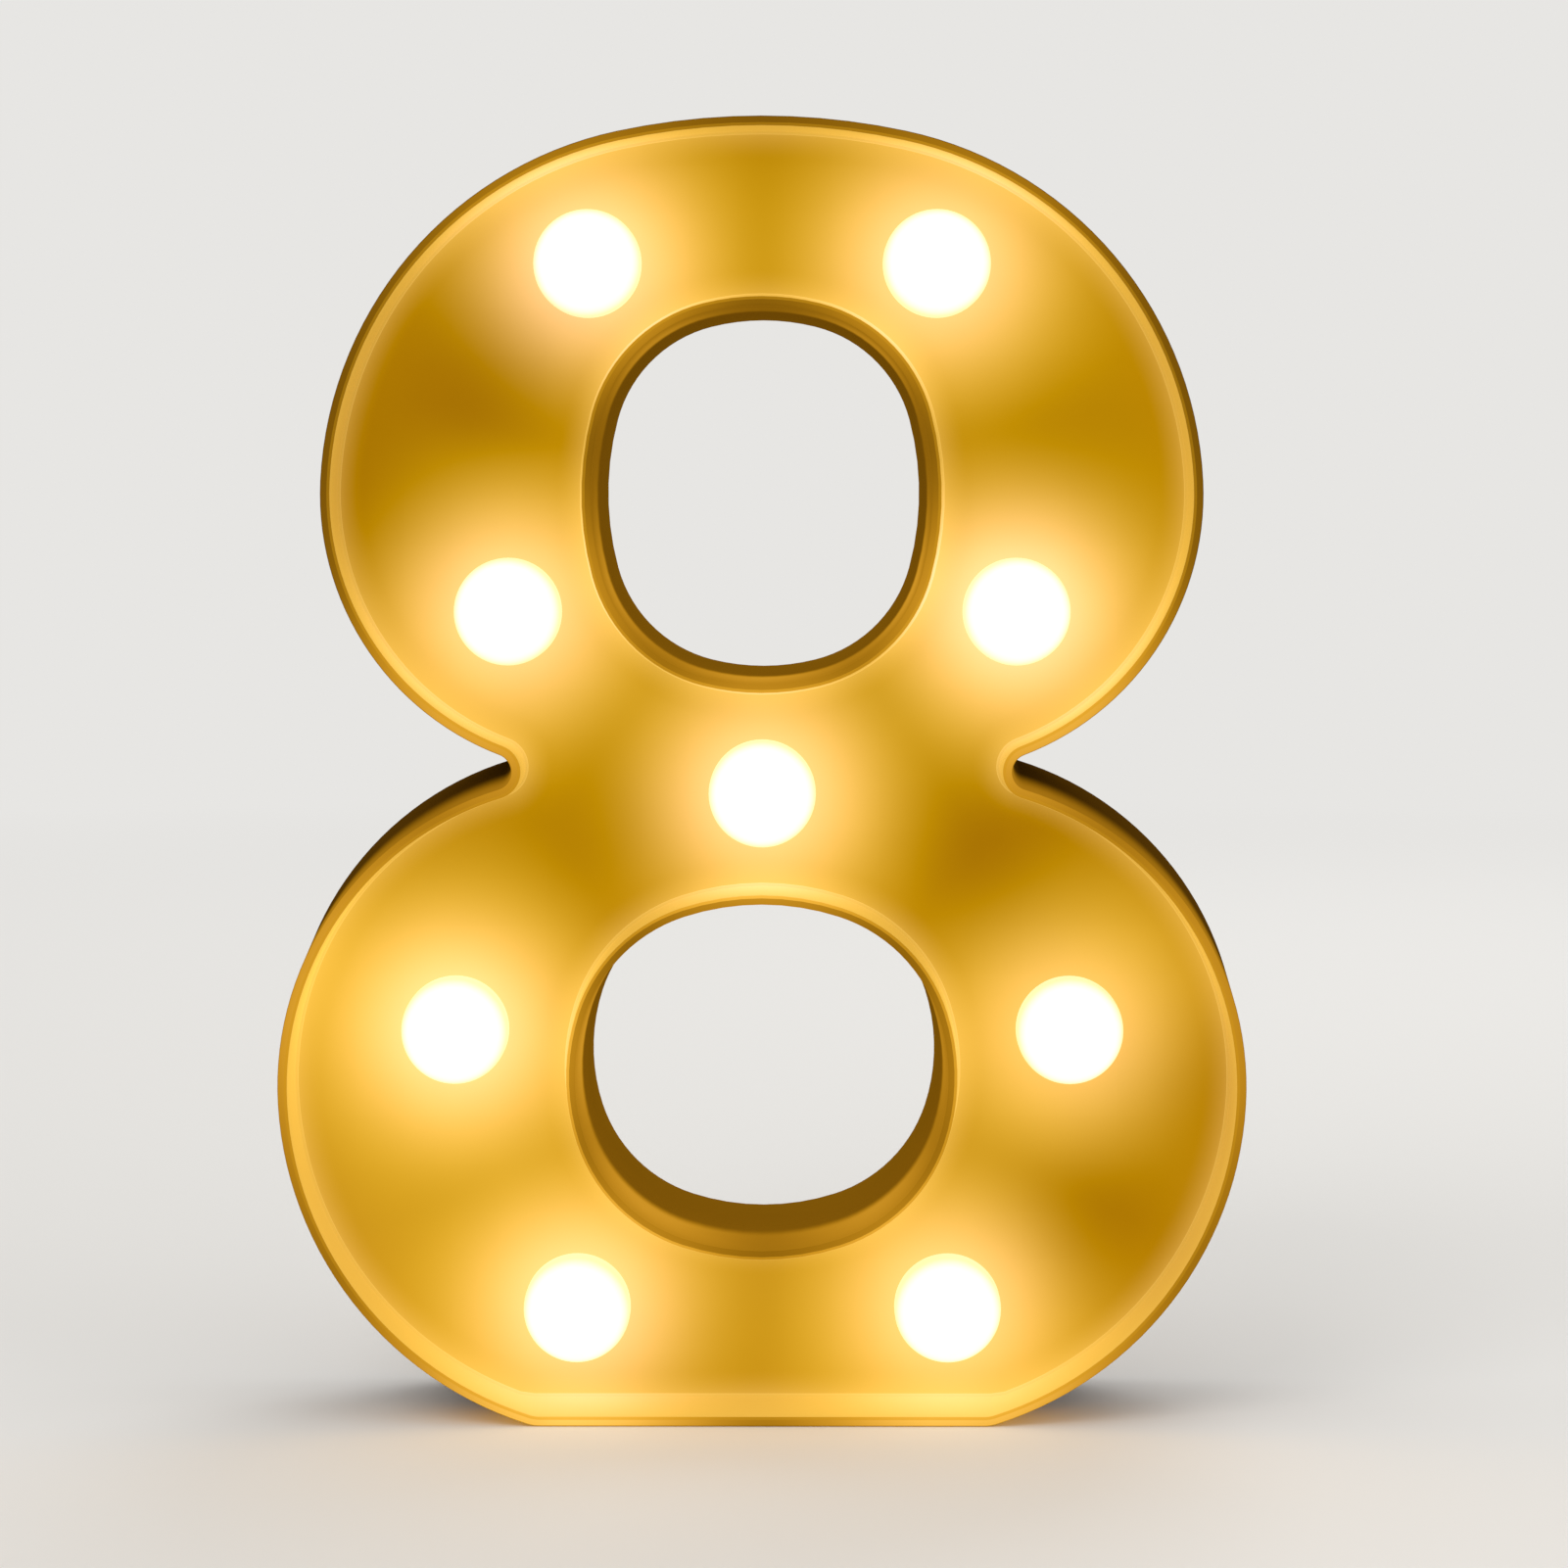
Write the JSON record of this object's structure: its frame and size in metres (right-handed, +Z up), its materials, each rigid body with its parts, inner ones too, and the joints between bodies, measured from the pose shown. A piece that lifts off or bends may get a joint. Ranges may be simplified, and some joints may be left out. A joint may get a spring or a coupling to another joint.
{
  "type": "light up marquee number",
  "caption": "Standing lit digit with a deep rim round a sunk face plate, frosted globe lamps, a switch and a hinged battery door at the back.",
  "frame": {"origin": "middle of the foot on the ground, half way between front rim and back panel", "axes": "+Z up, the number faces -Y, +X to the right of someone who looks at it"},
  "size_m": [0.1676, 0.045, 0.2224],
  "materials": {
    "lit_plastic": "translucent moulding lit from inside, satin",
    "back_plastic": "translucent moulding, satin",
    "frosted_globe": "frosted, lit",
    "collar_plastic": "plain moulding",
    "lamp_lens": "clear warm lens, lit",
    "screw_steel": "zinc plated",
    "cell_sleeve": "printed sleeve, left plain",
    "contact_nickel": "nickel plated",
    "switch_body": "pressed can",
    "knob_plastic": "ribbed",
    "twin_wire": "insulated twin wire",
    "red_wire": "insulated wire",
    "black_wire": "insulated wire",
    "resistor_lacquer": "lacquered"
  },
  "bodies": {
    "body": {"front_shell": "lit_plastic", "back_shell": "back_plastic", "globe_top_left": "frosted_globe", "globe_top_right": "frosted_globe", "globe_upper_left": "frosted_globe", "globe_upper_right": "frosted_globe", "globe_centre": "frosted_globe", "globe_lower_left": "frosted_globe", "globe_lower_right": "frosted_globe", "globe_foot_left": "frosted_globe", "globe_foot_right": "frosted_globe", "collar_top_left": "collar_plastic", "collar_top_right": "collar_plastic", "collar_upper_left": "collar_plastic", "collar_upper_right": "collar_plastic", "collar_centre": "collar_plastic", "collar_lower_left": "collar_plastic", "collar_lower_right": "collar_plastic", "collar_foot_left": "collar_plastic", "collar_foot_right": "collar_plastic", "lamp_top_left": "lamp_lens", "lamp_top_right": "lamp_lens", "lamp_upper_left": "lamp_lens", "lamp_upper_right": "lamp_lens", "lamp_centre": "lamp_lens", "lamp_lower_left": "lamp_lens", "lamp_lower_right": "lamp_lens", "lamp_foot_left": "lamp_lens", "lamp_foot_right": "lamp_lens", "screw_top_left": "screw_steel", "screw_top_right": "screw_steel", "screw_waist_left": "screw_steel", "screw_waist_right": "screw_steel", "screw_foot_left": "screw_steel", "screw_foot_right": "screw_steel", "cell_upper": "cell_sleeve", "cell_lower": "cell_sleeve", "contact_link": "contact_nickel", "contact_positive": "contact_nickel", "contact_negative": "contact_nickel", "switch_body": "switch_body", "wire_centre_to_upper_left": "twin_wire", "wire_upper_left_to_top_left": "twin_wire", "wire_top_left_to_top_right": "twin_wire", "wire_top_right_to_upper_right": "twin_wire", "wire_centre_to_lower_left": "twin_wire", "wire_lower_left_to_foot_left": "twin_wire", "wire_foot_left_to_foot_right": "twin_wire", "wire_foot_right_to_lower_right": "twin_wire", "lead_switched": "black_wire", "lead_negative": "black_wire", "lead_positive": "red_wire", "lead_resistor": "red_wire", "resistor": "resistor_lacquer"},
    "door": {"battery_door": "back_plastic"},
    "knob": {"switch_knob": "knob_plastic"}
  },
  "joints": [
    {"name": "battery_door_hinge", "type": "hinge", "parent": "body", "child": "door", "pos_m": [0, 0.02105, 0.0914], "axis": [-1, 0, 0], "range_deg": [0, 95]},
    {"name": "switch_slide", "type": "slide", "parent": "body", "child": "knob", "axis": [1, 0, 0], "range_m": [0, 0.0025]}
  ]
}
